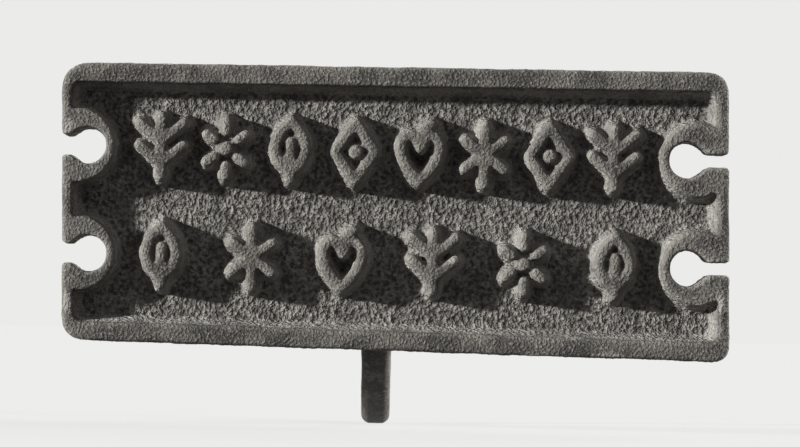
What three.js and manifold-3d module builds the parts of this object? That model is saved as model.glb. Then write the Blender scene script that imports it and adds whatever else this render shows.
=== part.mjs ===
import * as THREE from "three";
import { mergeVertices } from "three/addons/utils/BufferGeometryUtils.js";
import Module from "manifold-3d";

// A small cast bronze hand stamp: a plate with a sunk field of raised ornaments,
// and a finger ring soldered to its back as the handle. All lengths are in millimetres.
// It is drawn face up, x along the plate, y up the plate and z towards the print,
// with the back of the plate at z = 0, and is stood upright at the end.

// The plate, an uneven hand-cut rectangle
const PLATE_LENGTH = 50;
const LEFT_HEIGHT = 20.8;
const RIGHT_HEIGHT = 21.7;
const END_SKEW = 0.55;
const TOP_LEFT_RADIUS = 2.2;
const TOP_RIGHT_RADIUS = 1.7;
const BOTTOM_RIGHT_RADIUS = 1.3;
const BOTTOM_LEFT_RADIUS = 1.9;
const FLOOR_THICKNESS = 1.4;
const RELIEF_HEIGHT = 2.4;
const EDGE_ROUNDING = 0.35;

// The frame round the sunk field
const TOP_RIM = 1.4;
const BOTTOM_RIM = 1.35;
const LEFT_RIM = 0.75;
const RIGHT_RIM = 0.8;
const FIELD_RADIUS = 0.8;
const FIELD_DRAFT = 0.6;

// The keyhole notches in the two ends, each in a round boss
const LEFT_NOTCH_INSET = 1.95;
const RIGHT_NOTCH_INSET = 3.1;
const NOTCH_RADIUS = 1.38;
const LEFT_THROAT = 1.5;
const RIGHT_THROAT = 1;
const NECK_ANGLE = THREE.MathUtils.degToRad(50);
const LIP_RADIUS = 0.22;
const BOSS_WALL = 1.35;
const BOSS_SHIFT = 0.75;
const BOSS_DRAFT = 0.45;

// The two rows of raised ornaments
const UPPER_GROUND = 1.92;
const MIDDLE_GROUND = 3.1;
const LOWER_GROUND = 2.27;
const END_GROUND = 1.3;
const RIDGE_WIDTH = 0.62;
const RIDGE_DRAFT = 0.5;
const PELLET_RADIUS = 0.45;
const MOTIF_ASPECT = 0.8;

// The finger ring and its flat bezel
const FINGER_RADIUS = 10.5;
const BAND_THICKNESS = 2;
const BAND_WIDTH = 2.2;
const SEAT_WIDTH = 3;
const SHOULDER_WIDTH = 4.6;
const BAND_CHAMFER = 0.4;
const SEAT_ARC = THREE.MathUtils.degToRad(45);
const SHOULDER_START = THREE.MathUtils.degToRad(148);
const SHOULDER_END = THREE.MathUtils.degToRad(167);
const SEAT_CUT = 0.6;
const RING_OFFSET = -1.2;
const RING_DROP = 4;
const BEZEL_LENGTH = 9.6;
const BEZEL_HEIGHT = 7.4;
const BEZEL_THICKNESS = 1.6;
const BEZEL_PROUD = 0.8;
const BEZEL_CHAMFER = 0.4;

// The solder round the foot of the ring
const SOLDER_REACH = 1.7;
const SOLDER_SLOPE = 0.9;
const SOLDER_HEIGHT = 1.1;
const SOLDER_GAP = 0.15;

// How finely curves are cut, and how far a tool runs past what it cuts
const CORNER_STEPS = 6;
const CURVE_STEPS = 4;
const CAP_STEPS = 3;
const CIRCLE_STEPS = 24;
const HOOP_STEPS = 60;
const OVERRUN = 1;
const ROOT = 0.3;

const PLATE_THICKNESS = FLOOR_THICKNESS + RELIEF_HEIGHT;
const HOOP_RADIUS = FINGER_RADIUS + BAND_THICKNESS;
const HOOP_DEPTH = HOOP_RADIUS - SEAT_CUT;

const wasm = await Module();
wasm.setup();

const point = (x, y) => new THREE.Vector2(x, y);

// A closed solid from a geometry, on its positions alone.
function solidOf(geometry) {
  const bare = geometry.clone();
  bare.deleteAttribute("normal");
  bare.deleteAttribute("uv");
  const merged = mergeVertices(bare, 1e-4);
  return new wasm.Manifold(
    new wasm.Mesh({
      numProp: 3,
      vertProperties: new Float32Array(merged.attributes.position.array),
      triVerts: new Uint32Array(merged.index.array),
    }),
  );
}

function geometryOf(solid) {
  const { vertProperties, triVerts, numProp } = solid.getMesh();
  const corners = new THREE.BufferAttribute(vertProperties, numProp);
  const geometry = new THREE.BufferGeometry().setAttribute("position", corners);
  geometry.setIndex(new THREE.BufferAttribute(triVerts, 1));
  geometry.computeVertexNormals();
  return geometry;
}

const joined = (solids) => solids.reduce((whole, solid) => whole.add(solid));

// A straight-sided solid between two anticlockwise outlines with equal counts of points.
function loft(lower, lowerZ, upper, upperZ) {
  const count = lower.length;
  const corners = [
    ...lower.map(({ x, y }) => new THREE.Vector3(x, y, lowerZ)),
    ...upper.map(({ x, y }) => new THREE.Vector3(x, y, upperZ)),
  ];
  const faces = [];
  for (let i = 0; i < count; i += 1) {
    const next = (i + 1) % count;
    faces.push(i, next, count + next, i, count + next, count + i);
  }
  for (const [a, b, c] of THREE.ShapeUtils.triangulateShape(lower, [])) {
    faces.push(c, b, a);
  }
  for (const [a, b, c] of THREE.ShapeUtils.triangulateShape(upper, [])) {
    faces.push(count + a, count + b, count + c);
  }
  const geometry = new THREE.BufferGeometry().setFromPoints(corners);
  return solidOf(geometry.setIndex(faces));
}

// The plate's four corners, anticlockwise from the top left, drawn in from each edge.
function cornersInset(left, right, top, bottom) {
  const half = PLATE_LENGTH / 2;
  const lean = END_SKEW / 2;
  return [
    point(-half - lean + left, LEFT_HEIGHT / 2 - top),
    point(-half + lean + left, -LEFT_HEIGHT / 2 + bottom),
    point(half + lean - right, -RIGHT_HEIGHT / 2 + bottom),
    point(half - lean - right, RIGHT_HEIGHT / 2 - top),
  ];
}

function roundedShape(corners, radii) {
  const shape = new THREE.Shape();
  corners.forEach((corner, i) => {
    const before = corners.at(i - 1);
    const after = corners[(i + 1) % corners.length];
    const arrive = corner.clone().lerp(before, radii[i] / corner.distanceTo(before));
    const leave = corner.clone().lerp(after, radii[i] / corner.distanceTo(after));
    if (i === 0) shape.moveTo(arrive.x, arrive.y);
    else shape.lineTo(arrive.x, arrive.y);
    shape.quadraticCurveTo(corner.x, corner.y, leave.x, leave.y);
  });
  return shape;
}

function circleOutline(centre, radius) {
  const turn = (2 * Math.PI) / CIRCLE_STEPS;
  return Array.from({ length: CIRCLE_STEPS }, (_, i) =>
    point(Math.cos(i * turn), Math.sin(i * turn)).multiplyScalar(radius).add(centre),
  );
}

// The blank casting: the full outline with its outer edges rounded over.
function blankPlate() {
  const radii = [TOP_LEFT_RADIUS, BOTTOM_LEFT_RADIUS, BOTTOM_RIGHT_RADIUS, TOP_RIGHT_RADIUS];
  const blank = new THREE.ExtrudeGeometry(roundedShape(cornersInset(0, 0, 0, 0), radii), {
    depth: PLATE_THICKNESS - 2 * EDGE_ROUNDING,
    bevelThickness: EDGE_ROUNDING,
    bevelSize: EDGE_ROUNDING,
    bevelOffset: -EDGE_ROUNDING,
    bevelSegments: 3,
    curveSegments: CORNER_STEPS,
  });
  return solidOf(blank.translate(0, 0, EDGE_ROUNDING));
}

// The sunk field, wider at the face than at its floor, so that it leaves the mould.
function sunkField() {
  const outline = (inset) => {
    const insets = [LEFT_RIM, RIGHT_RIM, TOP_RIM, BOTTOM_RIM].map((rim) => rim + inset);
    const radii = Array(insets.length).fill(FIELD_RADIUS);
    return roundedShape(cornersInset(...insets), radii).getPoints(CORNER_STEPS);
  };
  const flare = (FIELD_DRAFT * OVERRUN) / RELIEF_HEIGHT;
  return loft(
    outline(FIELD_DRAFT),
    FLOOR_THICKNESS,
    outline(-flare),
    PLATE_THICKNESS + OVERRUN,
  );
}

// A raised form that widens towards the floor and is rooted in it. outlineAt gives its
// outline when grown by a distance on every side.
function raised(outlineAt, draft) {
  const spread = (draft * (RELIEF_HEIGHT + ROOT)) / RELIEF_HEIGHT;
  return loft(outlineAt(spread), FLOOR_THICKNESS - ROOT, outlineAt(0), PLATE_THICKNESS);
}

// The rows, from the height that the field leaves them
const MEAN_HEIGHT = (LEFT_HEIGHT + RIGHT_HEIGHT) / 2;
const FIELD_TOP = MEAN_HEIGHT / 2 - TOP_RIM - FIELD_DRAFT;
const FIELD_BOTTOM = -MEAN_HEIGHT / 2 + BOTTOM_RIM + FIELD_DRAFT;
const BARE_GROUND = UPPER_GROUND + MIDDLE_GROUND + LOWER_GROUND;
const MOTIF_HEIGHT = (FIELD_TOP - FIELD_BOTTOM - BARE_GROUND) / 2;
const UPPER_ROW = FIELD_TOP - UPPER_GROUND - MOTIF_HEIGHT / 2;
const LOWER_ROW = FIELD_BOTTOM + LOWER_GROUND + MOTIF_HEIGHT / 2;

// Where an end edge stands at a height on the plate; side is -1 at the left, 1 at the right.
const endAt = (side, y) => (side * PLATE_LENGTH) / 2 - (END_SKEW * y) / MEAN_HEIGHT;

const notchCentre = (side, y) => {
  const inset = side < 0 ? LEFT_NOTCH_INSET : RIGHT_NOTCH_INSET;
  return point(endAt(side, y) - side * inset, y);
};

// A round boss set a little towards the end, so that its wall is thin inside the field.
function notchBoss(side, y) {
  const centre = notchCentre(side, y).add(point(side * BOSS_SHIFT, 0));
  const radius = NOTCH_RADIUS + BOSS_WALL;
  return raised((grow) => circleOutline(centre, radius + grow), BOSS_DRAFT);
}

// A keyhole through the plate: a round hole whose sides run straight into a narrow throat,
// which opens at the end of the plate between two rounded lips.
function keyhole(side, y) {
  const centre = notchCentre(side, y);
  const half = (side < 0 ? LEFT_THROAT : RIGHT_THROAT) / 2;
  const end = side * (endAt(side, y) - centre.x);
  const tangentX = NOTCH_RADIUS * Math.cos(NECK_ANGLE);
  const tangentY = NOTCH_RADIUS * Math.sin(NECK_ANGLE);
  const neck = tangentX + (tangentY - half) * Math.tan(NECK_ANGLE);
  const shape = new THREE.Shape();
  shape.moveTo(end + OVERRUN, -half - LIP_RADIUS);
  shape.lineTo(end, -half - LIP_RADIUS);
  shape.absarc(end - LIP_RADIUS, -half - LIP_RADIUS, LIP_RADIUS, 0, Math.PI / 2, false);
  shape.lineTo(neck, -half);
  shape.absarc(0, 0, NOTCH_RADIUS, -NECK_ANGLE, NECK_ANGLE, true);
  shape.lineTo(neck, half);
  shape.absarc(end - LIP_RADIUS, half + LIP_RADIUS, LIP_RADIUS, -Math.PI / 2, 0, false);
  shape.lineTo(end + OVERRUN, half + LIP_RADIUS);
  const cutter = new THREE.ExtrudeGeometry(shape, {
    depth: PLATE_THICKNESS + 2 * OVERRUN,
    bevelEnabled: false,
    curveSegments: CIRCLE_STEPS / 2,
  });
  const turn = side < 0 ? Math.PI : 0;
  return solidOf(cutter.rotateZ(turn).translate(centre.x, centre.y, -OVERRUN));
}

// The outline of a straight piece of a stroke, with a half-round at each end.
function capsuleOutline(from, to, radius) {
  const heading = to.clone().sub(from).angle();
  return [to, from].flatMap((end, i) =>
    Array.from({ length: CAP_STEPS + 1 }, (_, k) => {
      const angle = heading + (i - 0.5) * Math.PI + (k * Math.PI) / CAP_STEPS;
      return point(Math.cos(angle), Math.sin(angle)).multiplyScalar(radius).add(end);
    }),
  );
}

// A ridge along a centre line. A bent one is a chain of short straight pieces.
function raisedStroke(line) {
  const stops = line.getPoints(line instanceof THREE.LineCurve ? 1 : CURVE_STEPS);
  return stops.slice(1).map((stop, i) => {
    const outline = (grow) => capsuleOutline(stops[i], stop, RIDGE_WIDTH / 2 + grow);
    return raised(outline, RIDGE_DRAFT);
  });
}

// One ornament's strokes and pellets are given on a square from -1 to 1, which the row
// scales to its own height. Each stroke is the centre line of a ridge.
const straight = (x1, y1, x2, y2) => ({ line: new THREE.LineCurve(point(x1, y1), point(x2, y2)) });
const bent = (x1, y1, cx, cy, x2, y2) => ({
  line: new THREE.QuadraticBezierCurve(point(x1, y1), point(cx, cy), point(x2, y2)),
});
const pellet = (x, y) => ({ dot: point(x, y) });
const onCircle = (radius, angle) => [radius * Math.cos(angle), radius * Math.sin(angle)];

function palmBranch() {
  const leaflets = [-0.55, 0.2].flatMap((foot) =>
    [-1, 1].map((side) => straight(0, foot, side * 0.95, foot + 0.62)),
  );
  return [straight(0, -1, 0, 1), ...leaflets];
}

function sixRayStar() {
  return [Math.PI / 6, Math.PI / 2, (5 * Math.PI) / 6].map((angle) => {
    const [x, y] = onCircle(1, angle);
    return straight(x, y, -x, -y);
  });
}

function rosette() {
  const petals = Array.from({ length: 6 }, (_, i) => {
    const angle = (i * Math.PI) / 3 + Math.PI / 6;
    return straight(...onCircle(0.58, angle), ...onCircle(0.95, angle));
  });
  return [pellet(0, 0), ...petals];
}

function pointedLeaf() {
  const sides = [-1, 1].map((side) => bent(0, -0.78, side * 1.35, -0.05, 0, 1));
  return [straight(0, -1, 0, 0.3), ...sides];
}

function ivyLeaf() {
  const lobes = [-1, 1].flatMap((side) => [
    bent(0, 0.2, side * 0.4, 1, side * 0.82, 0.35),
    bent(side * 0.82, 0.35, side * 0.95, -0.3, 0, -0.95),
  ]);
  return [bent(0, 0.2, 0, 0.8, 0.45, 1), ...lobes];
}

function lozenge() {
  const sides = [-1, 1].flatMap((side) => [
    straight(0, -1, side * 0.85, 0),
    straight(side * 0.85, 0, 0, 1),
  ]);
  return [pellet(0, 0), ...sides];
}

const UPPER_MOTIFS = [
  palmBranch,
  rosette,
  pointedLeaf,
  lozenge,
  ivyLeaf,
  sixRayStar,
  lozenge,
  palmBranch,
];
const LOWER_MOTIFS = [pointedLeaf, sixRayStar, ivyLeaf, palmBranch, rosette, pointedLeaf];

// One row of ornaments, spread evenly between the bosses at its two ends.
function ornamentRow(motifs, y) {
  const bossReach = NOTCH_RADIUS + BOSS_WALL - BOSS_SHIFT + BOSS_DRAFT;
  const start = notchCentre(-1, y).x + bossReach + END_GROUND;
  const end = notchCentre(1, y).x - bossReach - END_GROUND;
  const tall = (MOTIF_HEIGHT - RIDGE_WIDTH) / 2;
  const wide = tall * MOTIF_ASPECT;
  const firstX = start + wide;
  const pitch = (end - wide - firstX) / (motifs.length - 1);
  return motifs.flatMap((motif, i) => {
    const place = ({ x, y: up }) => point(firstX + i * pitch + x * wide, y + up * tall);
    return motif().flatMap(({ line, dot }) => {
      if (dot) {
        return raised((grow) => circleOutline(place(dot), PELLET_RADIUS + grow), RIDGE_DRAFT);
      }
      const ends = [line.v0, line.v1, line.v2].filter(Boolean).map(place);
      return raisedStroke(new line.constructor(...ends));
    });
  });
}

// The plate in one casting: blank, field, relief and notches.
function stampPlate() {
  const blank = blankPlate();
  const relief = [
    ...ornamentRow(UPPER_MOTIFS, UPPER_ROW),
    ...ornamentRow(LOWER_MOTIFS, LOWER_ROW),
  ];
  const notches = [-1, 1].flatMap((side) => [UPPER_ROW, LOWER_ROW].map((y) => [side, y]));
  const bosses = notches.map(([side, y]) => notchBoss(side, y).intersect(blank));
  const holes = notches.map(([side, y]) => keyhole(side, y));
  const dished = blank.subtract(sunkField());
  return dished.add(joined([...relief, ...bosses])).subtract(joined(holes));
}

// The width of the ring's band at an angle from its seat on the plate, from 0 to pi.
function bandWidth(angle) {
  const nearSeat = 1 - THREE.MathUtils.smoothstep(angle, 0, SEAT_ARC);
  const nearBezel = THREE.MathUtils.smoothstep(angle, SHOULDER_START, SHOULDER_END);
  const swell = nearSeat * (SEAT_WIDTH - BAND_WIDTH);
  return BAND_WIDTH + swell + nearBezel * (SHOULDER_WIDTH - BAND_WIDTH);
}

// The hoop, a band with chamfered edges swept round the finger hole; grow thickens it
// on every side.
function hoop(grow) {
  const corners = [];
  for (let i = 0; i < HOOP_STEPS; i += 1) {
    const angle = (i / HOOP_STEPS) * 2 * Math.PI;
    const across = bandWidth(Math.min(angle, 2 * Math.PI - angle)) / 2 + grow;
    const inner = FINGER_RADIUS - grow;
    const outer = HOOP_RADIUS + grow;
    const section = [
      [across, inner + BAND_CHAMFER],
      [across, outer - BAND_CHAMFER],
      [across - BAND_CHAMFER, outer],
      [BAND_CHAMFER - across, outer],
      [-across, outer - BAND_CHAMFER],
      [-across, inner + BAND_CHAMFER],
      [BAND_CHAMFER - across, inner],
      [across - BAND_CHAMFER, inner],
    ];
    for (const [x, radius] of section) {
      corners.push(new THREE.Vector3(x, radius * Math.sin(angle), radius * Math.cos(angle)));
    }
  }
  const sides = corners.length / HOOP_STEPS;
  const faces = [];
  for (let i = 0; i < HOOP_STEPS; i += 1) {
    for (let j = 0; j < sides; j += 1) {
      const next = (i + 1) % HOOP_STEPS;
      const beside = (j + 1) % sides;
      const [a, b] = [i * sides + j, i * sides + beside];
      const [c, d] = [next * sides + beside, next * sides + j];
      faces.push(a, c, b, a, d, c);
    }
  }
  const geometry = new THREE.BufferGeometry().setFromPoints(corners);
  return solidOf(geometry.setIndex(faces).translate(RING_OFFSET, -RING_DROP, -HOOP_DEPTH));
}

// The ring: its hoop, a flat oval bezel opposite the plate, and the seat filed flat
// where it meets the plate.
function ringHandle() {
  const oval = new THREE.Shape();
  oval.absellipse(0, 0, BEZEL_LENGTH / 2, BEZEL_HEIGHT / 2, 0, 2 * Math.PI, false, 0);
  const bezel = new THREE.ExtrudeGeometry(oval, {
    depth: BEZEL_THICKNESS - 2 * BEZEL_CHAMFER,
    bevelThickness: BEZEL_CHAMFER,
    bevelSize: BEZEL_CHAMFER,
    bevelOffset: -BEZEL_CHAMFER,
    bevelSegments: 1,
    curveSegments: CIRCLE_STEPS / 2,
  });
  const bezelBack = -HOOP_DEPTH - HOOP_RADIUS - BEZEL_PROUD + BEZEL_CHAMFER;
  bezel.translate(RING_OFFSET, -RING_DROP, bezelBack);
  const file = new THREE.BoxGeometry(2 * HOOP_RADIUS, 2 * HOOP_RADIUS, 2 * SEAT_CUT);
  file.translate(RING_OFFSET, -RING_DROP, SEAT_CUT);
  return hoop(0).add(solidOf(bezel)).subtract(solidOf(file));
}

// The solder, a low oval collar that fills the wedge between the ring's foot and the plate.
function solderFillet() {
  const foot = Math.sqrt(HOOP_RADIUS ** 2 - HOOP_DEPTH ** 2);
  const collar = (reach) =>
    circleOutline(point(0, 0), 1).map(({ x, y }) =>
      point(RING_OFFSET + x * (SEAT_WIDTH / 2 + reach), -RING_DROP + y * (foot + reach)),
    );
  const mound = loft(collar(SOLDER_REACH - SOLDER_SLOPE), -SOLDER_HEIGHT, collar(SOLDER_REACH), 0);
  return mound.subtract(hoop(SOLDER_GAP));
}

const bronze = new THREE.MeshStandardMaterial({
  color: 0x4a4842,
  roughness: 0.6,
  metalness: 0.75,
});
const wornBronze = new THREE.MeshStandardMaterial({
  color: 0x57534a,
  roughness: 0.5,
  metalness: 0.8,
});
const solder = new THREE.MeshStandardMaterial({
  color: 0x6b6b69,
  roughness: 0.7,
  metalness: 0.6,
});

function piece(name, solid, material) {
  const mesh = new THREE.Mesh(geometryOf(solid), material);
  mesh.name = name;
  return mesh;
}

// Stood upright: the print faces -y, the ring hangs behind it, and the lowest point of
// the ring is at z = 0 under the middle of the whole.
const upright = new THREE.Group();
upright.add(piece("stamp_plate", stampPlate(), bronze));
upright.add(piece("ring_handle", ringHandle(), wornBronze));
upright.add(piece("solder_fillet", solderFillet(), solder));
upright.rotation.x = Math.PI / 2;
const bounds = new THREE.Box3().setFromObject(upright, true);
const middle = bounds.getCenter(new THREE.Vector3());
upright.position.set(-middle.x, -middle.y, -bounds.min.z);

const stampSeal = new THREE.Group();
stampSeal.add(upright);

export default stampSeal;
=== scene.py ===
import math

import bpy
from mathutils import Euler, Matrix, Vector


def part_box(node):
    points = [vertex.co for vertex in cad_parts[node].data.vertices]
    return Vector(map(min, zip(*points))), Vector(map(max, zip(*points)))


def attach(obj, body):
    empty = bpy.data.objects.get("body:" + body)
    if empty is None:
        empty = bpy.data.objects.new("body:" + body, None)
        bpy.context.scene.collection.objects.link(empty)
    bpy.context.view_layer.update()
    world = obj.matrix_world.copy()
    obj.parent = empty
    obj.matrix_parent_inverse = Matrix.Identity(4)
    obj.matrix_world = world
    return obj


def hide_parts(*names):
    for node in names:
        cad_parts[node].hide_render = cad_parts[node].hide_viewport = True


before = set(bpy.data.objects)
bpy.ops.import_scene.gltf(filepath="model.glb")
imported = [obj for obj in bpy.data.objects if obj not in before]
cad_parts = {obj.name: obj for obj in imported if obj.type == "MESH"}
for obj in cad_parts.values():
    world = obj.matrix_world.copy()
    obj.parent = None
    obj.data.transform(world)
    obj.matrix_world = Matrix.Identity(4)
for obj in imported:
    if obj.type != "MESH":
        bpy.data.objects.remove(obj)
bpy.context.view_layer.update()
MM = 0.001

# The camera looks square at the print from far off, a touch from below, and is rolled a
# little so that the plate hangs clockwise. The aim sets where the plate sits in the frame.
plate_low, plate_high = (Vector(corner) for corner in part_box("stamp_plate"))
VIEW_DISTANCE = 280 * MM
VIEW_RISE = math.radians(-1.5)
VIEW_ROLL = math.radians(1.45)
VIEW_WIDTH = 59.84 * MM
AIM_RIGHT = 0.35 * MM
AIM_DOWN = 1.1 * MM
NEAREST = 10 * MM
FARTHEST = 20

lens = bpy.data.cameras.new("print_view")
lens.lens = lens.sensor_width * VIEW_DISTANCE / VIEW_WIDTH
lens.clip_start = NEAREST
lens.clip_end = FARTHEST
camera = bpy.data.objects.new("print_view", lens)
bpy.context.collection.objects.link(camera)
plate_middle = (plate_low + plate_high) / 2
aim = Vector((plate_middle.x + AIM_RIGHT, plate_low.y, plate_middle.z - AIM_DOWN))
back_off = Vector((0, -math.cos(VIEW_RISE), math.sin(VIEW_RISE))) * VIEW_DISTANCE
level = (-back_off).to_track_quat("-Z", "Y")
camera.location = aim + back_off
camera.rotation_mode = "QUATERNION"
camera.rotation_quaternion = level @ Euler((0, 0, VIEW_ROLL)).to_quaternion()
bpy.context.scene.camera = camera
bpy.context.scene.view_settings.view_transform = "Standard"


# The plate is one bronze casting, with its frame, ornaments and notch bosses. The top of
# the relief is rubbed flat by use. What lies deeper keeps the grain of the mould.
PLATE_VOXEL = 0.15 * MM
PLATE_SOFTENING = 2
PLATE_KEEP = 0.55
RUBBED_DEPTH = 0.25 * MM
CRUST_DEPTH = 0.9 * MM
SWELL_DETAIL = 2.0
GRAIN_DETAIL = 4.0
NOISE_MIDDLE = 0.5
WELD_REACH = 0.001 * MM
PLATE_SKIN = {
    "Swell": 0.22 * MM,
    "Swell size": 2.2 * MM,
    "Grain": 0.30 * MM,
    "Grain size": 0.42 * MM,
    "Rubbed share": 0.10,
    "Rubbed end": plate_low.y + RUBBED_DEPTH,
    "Crust start": plate_low.y + CRUST_DEPTH,
    "Seed": 7.0,
}


def linear(code):
    """An sRGB hex colour as linear red, green, blue and alpha."""
    parts = [int(code[i : i + 2], 16) / 255 for i in (1, 3, 5)]
    return [p / 12.92 if p <= 0.04045 else ((p + 0.055) / 1.055) ** 2.4 for p in parts] + [1]


def add(tree, kind, feeds=None, **settings):
    """Adds a node with its settings. feeds names its inputs: a node or a socket is linked
    to one, and anything else is set on it."""
    made = tree.nodes.new(kind)
    for name, value in settings.items():
        setattr(made, name, value)
    for slot, value in (feeds or {}).items():
        if isinstance(value, bpy.types.Node):
            value = value.outputs[0]
        if isinstance(value, bpy.types.NodeSocket):
            tree.links.new(value, made.inputs[slot])
        else:
            made.inputs[slot].default_value = value
    return made


def cast_skin(name):
    """A node tree that roughens a casting along its normals: a slow swell all over, and a
    grain that is full in the depth and mostly rubbed away at the face."""
    tree = bpy.data.node_groups.new(name, "GeometryNodeTree")
    tree.interface.new_socket("Geometry", in_out="INPUT", socket_type="NodeSocketGeometry")
    for label in PLATE_SKIN:
        tree.interface.new_socket(label, in_out="INPUT", socket_type="NodeSocketFloat")
    tree.interface.new_socket("Material", in_out="INPUT", socket_type="NodeSocketMaterial")
    tree.interface.new_socket("Geometry", in_out="OUTPUT", socket_type="NodeSocketGeometry")
    given = add(tree, "NodeGroupInput").outputs
    place = add(tree, "GeometryNodeInputPosition")
    along = add(tree, "ShaderNodeSeparateXYZ", {0: place})
    left_on = add(
        tree,
        "ShaderNodeMapRange",
        {
            "Value": along.outputs["Y"],
            "From Min": given["Rubbed end"],
            "From Max": given["Crust start"],
            "To Min": given["Rubbed share"],
        },
        interpolation_type="SMOOTHSTEP",
    )
    heights = []
    for depth, detail in (("Swell", SWELL_DETAIL), ("Grain", GRAIN_DETAIL)):
        size = depth + " size"
        often = add(tree, "ShaderNodeMath", {0: 1.0, 1: given[size]}, operation="DIVIDE")
        noise = add(
            tree,
            "ShaderNodeTexNoise",
            {"Vector": place, "W": given["Seed"], "Scale": often, "Detail": detail},
            noise_dimensions="4D",
        )
        centred = add(tree, "ShaderNodeMath", {0: noise, 1: NOISE_MIDDLE}, operation="SUBTRACT")
        heights.append(add(tree, "ShaderNodeMath", {0: centred, 1: given[depth]}, operation="MULTIPLY"))
    grain = add(tree, "ShaderNodeMath", {0: heights[1], 1: left_on}, operation="MULTIPLY")
    lift = add(tree, "ShaderNodeMath", {0: heights[0], 1: grain}, operation="ADD")
    normal = add(tree, "GeometryNodeInputNormal")
    offset = add(tree, "ShaderNodeVectorMath", {0: normal, "Scale": lift}, operation="SCALE")
    moved = add(tree, "GeometryNodeSetPosition", {"Geometry": given["Geometry"], "Offset": offset})
    real = add(tree, "GeometryNodeRealizeInstances", {"Geometry": moved})
    dressed = add(tree, "GeometryNodeSetMaterial", {"Geometry": real, "Material": given["Material"]})
    add(tree, "NodeGroupOutput", {"Geometry": dressed})
    return tree


def plain_mesh(piece):
    """Turns what the piece's modifiers make into its own plain mesh."""
    graph = bpy.context.evaluated_depsgraph_get()
    made = bpy.data.meshes.new_from_object(piece.evaluated_get(graph))
    piece.modifiers.clear()
    piece.data = made


def cast_copy(node, name, voxel, softening, skin, material, grow=0.0, keep=1.0):
    """A fine mesh of a CAD node with softened arrises and a cast skin. grow moves it
    outwards, and keep is the share of its triangles that stays."""
    piece = bpy.data.objects.new(name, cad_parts[node].data.copy())
    bpy.context.collection.objects.link(piece)
    weld = piece.modifiers.new("weld", "WELD")
    weld.merge_threshold = WELD_REACH
    fine = piece.modifiers.new("fine", "REMESH")
    fine.mode = "VOXEL"
    fine.voxel_size = voxel
    soften = piece.modifiers.new("soften", "SMOOTH")
    soften.iterations = softening
    swell = piece.modifiers.new("grow", "DISPLACE")
    swell.strength = grow
    swell.mid_level = 0
    plain_mesh(piece)
    cast = piece.modifiers.new("skin", "NODES")
    cast.node_group = cast_skin(name + "_skin")
    given = {**skin, "Material": material}
    for socket in cast.node_group.interface.items_tree:
        if socket.name in given:
            cast[socket.identifier] = given[socket.name]
    thin = piece.modifiers.new("thin", "DECIMATE")
    thin.ratio = keep
    plain_mesh(piece)
    piece.data.shade_smooth()
    return piece


# How each layer of the finish spreads: the value of its pattern where it starts to show,
# the value where it is full, and the share that it then covers.
BLOTCH_SPREAD = (0.40, 0.60, 1.0)
GRAIN_SPREAD = (0.52, 0.70, 0.55)
# Edges are paler partly from wear and partly as a painted highlight, where arrises catch the light.
EDGE_WEAR_AND_HIGHLIGHT = (0.51, 0.57, 0.6)
HOLLOW_DIRT = (0.48, 0.40, 0.7)
GRIT_SPREAD = (0.36, 0.66, 1.0)
# Painted highlight: the steep flanks of the crust are painted paler, as if lit by the raking lamp.
FLANK_PAINTED_HIGHLIGHT = (0.85, 0.45, 0.6)
CRUST_STAIN = (0.54, 0.42, 0.35)
BLOTCH_DETAIL = 4.0
FINE_DETAIL = 2.0

# A Mix node's inputs go by number, because their names repeat: its share, its two numbers
# and its two colours. The last one is its colour output.
SHARE, NUMBER_A, NUMBER_B, COLOUR_A, COLOUR_B = 0, 2, 3, 6, 7
MIXED_COLOUR = 2


def coat(tree, under, pattern, spread, colour):
    """Lays one colour over what is under it, as far as its pattern spreads."""
    start, full, most = spread
    feeds = {"Value": pattern, "From Min": start, "From Max": full, "To Max": most}
    cover = add(tree, "ShaderNodeMapRange", feeds)
    feeds = {SHARE: cover, COLOUR_A: under, COLOUR_B: linear(colour)}
    return add(tree, "ShaderNodeMix", feeds, data_type="RGBA").outputs[MIXED_COLOUR]


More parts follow.
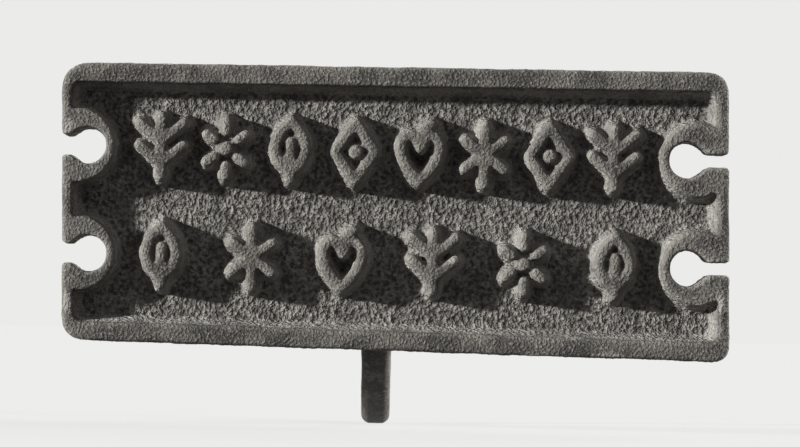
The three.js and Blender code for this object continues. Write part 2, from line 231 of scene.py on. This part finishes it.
def patina(name, dark, mid, pale, blotch, grain, relief, rough, shine, crust=None):
    """The skin of an old casting: blotches of two tones, paler grain, edges rubbed paler and
    painted paler as a highlight, and hollows gone darker. crust is the look of what lies
    deeper, on a plate that has some; its steep flanks get a painted highlight."""
    material = bpy.data.materials.new(name)
    material.use_nodes = True
    tree = material.node_tree
    tree.nodes.clear()
    place = add(tree, "ShaderNodeTexCoord").outputs["Object"]
    edges = add(tree, "ShaderNodeNewGeometry").outputs["Pointiness"]
    feeds = {"Vector": place, "Scale": 1 / blotch, "Detail": BLOTCH_DETAIL}
    patches = add(tree, "ShaderNodeTexNoise", feeds)
    feeds = {"Vector": place, "Scale": 1 / grain, "Detail": FINE_DETAIL}
    grains = add(tree, "ShaderNodeTexNoise", feeds)
    tone = coat(tree, linear(dark), patches, BLOTCH_SPREAD, mid)
    tone = coat(tree, tone, grains, GRAIN_SPREAD, pale)
    # Paler arrises: rubbed wear, and also a painted highlight.
    tone = coat(tree, tone, edges, EDGE_WEAR_AND_HIGHLIGHT, pale)
    tone = coat(tree, tone, edges, HOLLOW_DIRT, dark)
    height = add(tree, "ShaderNodeMath", {0: grains, 1: relief}, operation="MULTIPLY")
    if crust:
        along = add(tree, "ShaderNodeSeparateXYZ", {0: place})
        share = {"Value": along.outputs["Y"], "From Min": crust["from"], "From Max": crust["to"]}
        deep = add(tree, "ShaderNodeMapRange", share)
        feeds = {"Vector": place, "Scale": 1 / crust["grit"], "Detail": FINE_DETAIL}
        grit = add(tree, "ShaderNodeTexNoise", feeds)
        crust_and_flank_highlight = coat(tree, linear(crust["hollow"]), grit, GRIT_SPREAD, crust["top"])
        # Painted highlight: the steep flanks, found by their normal, are painted paler as if lit.
        normal = add(tree, "ShaderNodeTexCoord").outputs["Normal"]
        facing = add(tree, "ShaderNodeSeparateXYZ", {0: normal}).outputs["Y"]
        level = add(tree, "ShaderNodeMath", {0: facing}, operation="ABSOLUTE")
        crust_and_flank_highlight = coat(tree, crust_and_flank_highlight, level, FLANK_PAINTED_HIGHLIGHT, crust["flank_painted_highlight"])
        crust_and_flank_highlight = coat(tree, crust_and_flank_highlight, patches, CRUST_STAIN, dark)
        feeds = {SHARE: deep, COLOUR_A: tone, COLOUR_B: crust_and_flank_highlight}
        tone = add(tree, "ShaderNodeMix", feeds, data_type="RGBA").outputs[MIXED_COLOUR]
        raised = add(tree, "ShaderNodeMath", {0: grit, 1: crust["relief"]}, operation="MULTIPLY")
        height = add(tree, "ShaderNodeMix", {SHARE: deep, NUMBER_A: height, NUMBER_B: raised})
    bump = add(tree, "ShaderNodeBump", {"Strength": 1.0, "Distance": 1.0, "Height": height})
    feeds = {
        "Base Color": tone,
        "Metallic": 0.0,
        "Roughness": rough,
        "Specular IOR Level": shine,
        "Normal": bump,
    }
    shader = add(tree, "ShaderNodeBsdfPrincipled", feeds)
    add(tree, "ShaderNodeOutputMaterial", {"Surface": shader})
    return material


# Cast bronze under a dark dull patina, which is an oxide, so it has no metal sheen. The
# rubbed face is blotched at about two millimetres, with a grain of a fifth, and its arrises
# are paler from wear and from a painted highlight. The crust has grit of a third of a
# millimetre, pale on top and dark between the grains. Its steep flanks get a painted
# highlight, paler as if lit, and it is stained dark in patches.
cast_bronze = patina(
    "cast_bronze_patinated",
    dark="#42403D",
    mid="#64615C",
    pale="#A19E96",
    blotch=2.0 * MM,
    grain=0.21 * MM,
    relief=0.24 * MM,
    rough=0.7,
    shine=0.15,
    crust={
        "from": plate_low.y + RUBBED_DEPTH,
        "to": plate_low.y + CRUST_DEPTH,
        "grit": 0.3 * MM,
        "relief": 0.8 * MM,
        "hollow": "#4E4C48",
        "top": "#94918B",
        # The painted highlight on the steep flanks.
        "flank_painted_highlight": "#AFACA5",
    },
)
plate = cast_copy(
    "stamp_plate",
    "plate_casting",
    PLATE_VOXEL,
    PLATE_SOFTENING,
    PLATE_SKIN,
    cast_bronze,
    keep=PLATE_KEEP,
)
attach(plate, "root")
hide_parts("stamp_plate")


# The handle is a bronze finger ring with a flat oval bezel, cast in one and filed flat
# where it sits on the plate. Handling has left it smoother than the plate.
RING_VOXEL = 0.15 * MM
RING_SOFTENING = 14
RING_SKIN = {
    "Swell": 0.1 * MM,
    "Swell size": 2.6 * MM,
    "Grain": 0.07 * MM,
    "Grain size": 0.5 * MM,
    "Rubbed share": 1.0,
    "Seed": 11.0,
}

# The same patina on the handled ring: dull and a little darker, with a shallow grain of a
# quarter of a millimetre.
worn_bronze = patina(
    "worn_bronze_patinated",
    dark="#3C3B37",
    mid="#605D57",
    pale="#989489",
    blotch=2.4 * MM,
    grain=0.26 * MM,
    relief=0.06 * MM,
    rough=0.72,
    shine=0.35,
)
ring = cast_copy("ring_handle", "finger_ring", RING_VOXEL, RING_SOFTENING, RING_SKIN, worn_bronze)
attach(ring, "root")
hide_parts("ring_handle")


# The solder is a low uneven collar of lead and tin, run in hot round the foot of the ring
# and left as it set.
SOLDER_VOXEL = 0.12 * MM
SOLDER_SOFTENING = 4
SOLDER_GROWTH = 0.16 * MM
SOLDER_SKIN = {
    "Swell": 0.36 * MM,
    "Swell size": 1.6 * MM,
    "Grain": 0.06 * MM,
    "Grain size": 0.5 * MM,
    "Rubbed share": 1.0,
    "Seed": 5.0,
}

# Soft solder gone grey: a dull lumpy skin with faint paler bloom.
solder_grey = patina(
    "solder_tarnished",
    dark="#4A4A48",
    mid="#6B6B69",
    pale="#8E8E8B",
    blotch=1.4 * MM,
    grain=0.35 * MM,
    relief=0.05 * MM,
    rough=0.6,
    shine=0.3,
)
collar = cast_copy(
    "solder_fillet",
    "solder_collar",
    SOLDER_VOXEL,
    SOLDER_SOFTENING,
    SOLDER_SKIN,
    solder_grey,
    grow=SOLDER_GROWTH,
)
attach(collar, "root")
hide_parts("solder_fillet")


# A plain pale floor in a plain pale surround. What is seen of them is their own colour,
# and the floor keeps a faint shadow. It throws little light up into the hollows.
PALE = "#EBEBEA"
FLOOR_PALE = "#E8E8E7"
FLOOR_THROW = "#4A4A4A"
FLOOR_SIDE = 4.0
FLOOR_OWN_COLOUR = 0.9
FILL_WHITE = "#FFFFFF"
FILL_STRENGTH = 0.3


def seen_by_eye(tree):
    """One for the rays that show a thing: straight ones, mirrored ones and those through glass."""
    rays = add(tree, "ShaderNodeLightPath").outputs
    seen = rays["Is Camera Ray"]
    for ray in ("Is Glossy Ray", "Is Transmission Ray"):
        seen = add(tree, "ShaderNodeMath", {0: seen, 1: rays[ray]}, operation="MAXIMUM").outputs[0]
    return seen


half = FLOOR_SIDE / 2
corners = [(-half, -half, 0), (half, -half, 0), (half, half, 0), (-half, half, 0)]
floor_mesh = bpy.data.meshes.new("floor")
floor_mesh.from_pydata(corners, [], [(0, 1, 2, 3)])
floor = bpy.data.objects.new("floor", floor_mesh)
bpy.context.collection.objects.link(floor)
paper = bpy.data.materials.new("pale_paper")
paper.use_nodes = True
tree = paper.node_tree
tree.nodes.clear()
seen = seen_by_eye(tree)
own = add(tree, "ShaderNodeMath", {0: seen, 1: FLOOR_OWN_COLOUR}, operation="MULTIPLY")
glow = add(tree, "ShaderNodeEmission", {"Color": linear(FLOOR_PALE)})
feeds = {SHARE: seen, COLOUR_A: linear(FLOOR_THROW), COLOUR_B: linear(FLOOR_PALE)}
thrown = add(tree, "ShaderNodeMix", feeds, data_type="RGBA").outputs[MIXED_COLOUR]
dull = add(tree, "ShaderNodeBsdfDiffuse", {"Color": thrown})
both = add(tree, "ShaderNodeMixShader", {0: own, 1: dull, 2: glow})
add(tree, "ShaderNodeOutputMaterial", {"Surface": both})
floor_mesh.materials.append(paper)

world = bpy.data.worlds.new("pale_surround")
bpy.context.scene.world = world
world.use_nodes = True
tree = world.node_tree
tree.nodes.clear()
feeds = {"Strength": FILL_STRENGTH, "Color": linear(FILL_WHITE)}
fill = add(tree, "ShaderNodeBackground", feeds)
shown = add(tree, "ShaderNodeBackground", {"Color": linear(PALE)})
both = add(tree, "ShaderNodeMixShader", {0: seen_by_eye(tree), 1: fill, 2: shown})
add(tree, "ShaderNodeOutputWorld", {"Surface": both})


# Three far lamps: a low key from the left that rakes over the relief, one from behind the
# print that lights only its right-hand edges, and a broad one for the back. Each has the
# direction that the stamp sees it in, its strength, and its width in degrees, which
# softens the shadows.
LAMPS = {
    "raking_key": ((-0.88, -0.425, 0.21), 6.4, 3.5),
    "right_edge": ((0.93, 0.22, 0.25), 5.0, 20),
    "soft_back": ((0.45, 0.75, 0.5), 2.2, 25),
}
for name, (towards, strength, width) in LAMPS.items():
    lamp = bpy.data.lights.new(name, "SUN")
    lamp.energy = strength
    lamp.angle = math.radians(width)
    hung = bpy.data.objects.new(name, lamp)
    hung.rotation_euler = Vector(towards).to_track_quat("Z", "Y").to_euler()
    bpy.context.collection.objects.link(hung)
